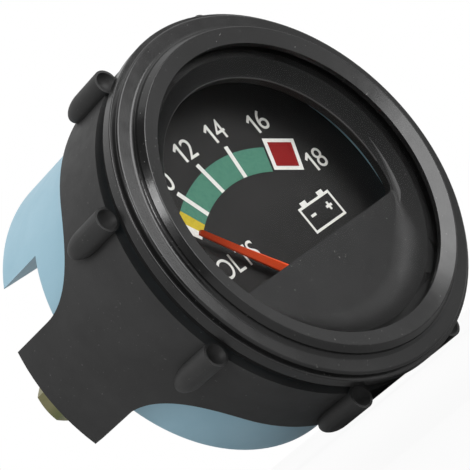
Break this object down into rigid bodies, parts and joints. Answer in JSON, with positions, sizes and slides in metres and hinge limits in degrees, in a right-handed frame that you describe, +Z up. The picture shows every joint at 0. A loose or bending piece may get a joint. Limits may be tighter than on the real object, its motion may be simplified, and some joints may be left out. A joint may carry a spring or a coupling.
{
  "type": "panel voltmeter",
  "caption": "Round panel gauge that shows battery voltage with a needle on a curved scale, with a moulded housing, a rear clamp bracket and a twist-in dial lamp.",
  "frame": {"origin": "on the gauge's axis, at the middle of the panel gasket's thickness", "axes": "+Y along the gauge's axis from the dial to the back, +Z up and +X right as the dial is read"},
  "size_m": [0.0566, 0.0422, 0.0566],
  "materials": {
    "gloss_black": "gloss moulded",
    "clear_lens": "clear polished",
    "black_rubber": "matt",
    "mask_black": "semi-gloss moulded",
    "dial_black": "matt printed",
    "steel": "plain",
    "needle_orange": "painted",
    "satin_black": "satin moulded",
    "magnet_grey": "sintered",
    "brass": "turned",
    "white_nylon": "moulded",
    "copper_wire": "enamelled wire",
    "board_green": "solder mask",
    "resistor_tan": "coated",
    "diode_black": "moulded",
    "housing_blue": "satin moulded",
    "yellow_zinc": "yellow chromate",
    "tinned_brass": "tin plated",
    "bulb_glass": "clear"
  },
  "bodies": {
    "gauge_body": {"bezel": "gloss_black", "lens": "clear_lens", "lens_seal": "black_rubber", "mask": "mask_black", "dial_plate": "dial_black", "dial_screws": "steel", "stop_pins": "steel", "front_bush": "brass", "rear_bush": "brass", "bobbin_front": "white_nylon", "bobbin_rear": "white_nylon", "coil_inner": "copper_wire", "coil_outer": "copper_wire", "return_magnet": "magnet_grey", "circuit_board": "board_green", "board_screws": "steel", "resistor": "resistor_tan", "diode": "diode_black", "housing": "housing_blue", "panel_gasket": "black_rubber", "mounting_studs": "yellow_zinc", "stud_locknuts": "yellow_zinc", "terminal_block": "satin_black", "terminal_positive": "tinned_brass", "terminal_negative": "tinned_brass"},
    "pointer_assembly": {"pointer": "needle_orange", "pointer_cap": "satin_black", "spindle": "steel", "rotor_magnet": "magnet_grey"},
    "clamp": {"clamp_bracket": "satin_black", "clamp_washers": "yellow_zinc"},
    "left_nut": {"clamp_nut_left": "yellow_zinc"},
    "right_nut": {"clamp_nut_right": "yellow_zinc"},
    "lamp": {"lamp_holder": "satin_black", "lamp_bulb": "bulb_glass", "lamp_contacts": "tinned_brass"}
  },
  "joints": [
    {"name": "pointer_swing", "type": "hinge", "parent": "gauge_body", "child": "pointer_assembly", "pos_m": [0, 0, -0.0121], "axis": [0, 1, 0], "range_deg": [0, 78.5]},
    {"name": "clamp_slide", "type": "slide", "parent": "gauge_body", "child": "clamp", "axis": [0, 1, 0], "range_m": [0, 0.0035]},
    {"name": "nut_left_spin", "type": "hinge", "parent": "clamp", "child": "left_nut", "pos_m": [-0.02099, 0, -0.00081], "axis": [0, 1, 0], "range_deg": [0, 1800]},
    {"name": "nut_right_spin", "type": "hinge", "parent": "clamp", "child": "right_nut", "pos_m": [0.02099, 0, 0.00081], "axis": [0, 1, 0], "range_deg": [0, 1800]},
    {"name": "lamp_twist", "type": "hinge", "parent": "gauge_body", "child": "lamp", "pos_m": [0, 0, 0.02075], "axis": [0, 1, 0], "range_deg": [0, 60]}
  ],
  "couplings": [
    {"joint": "nut_left_spin", "follows": "clamp_slide", "rad_per_m": 8975.9},
    {"joint": "nut_right_spin", "follows": "clamp_slide", "rad_per_m": 8975.9}
  ]
}
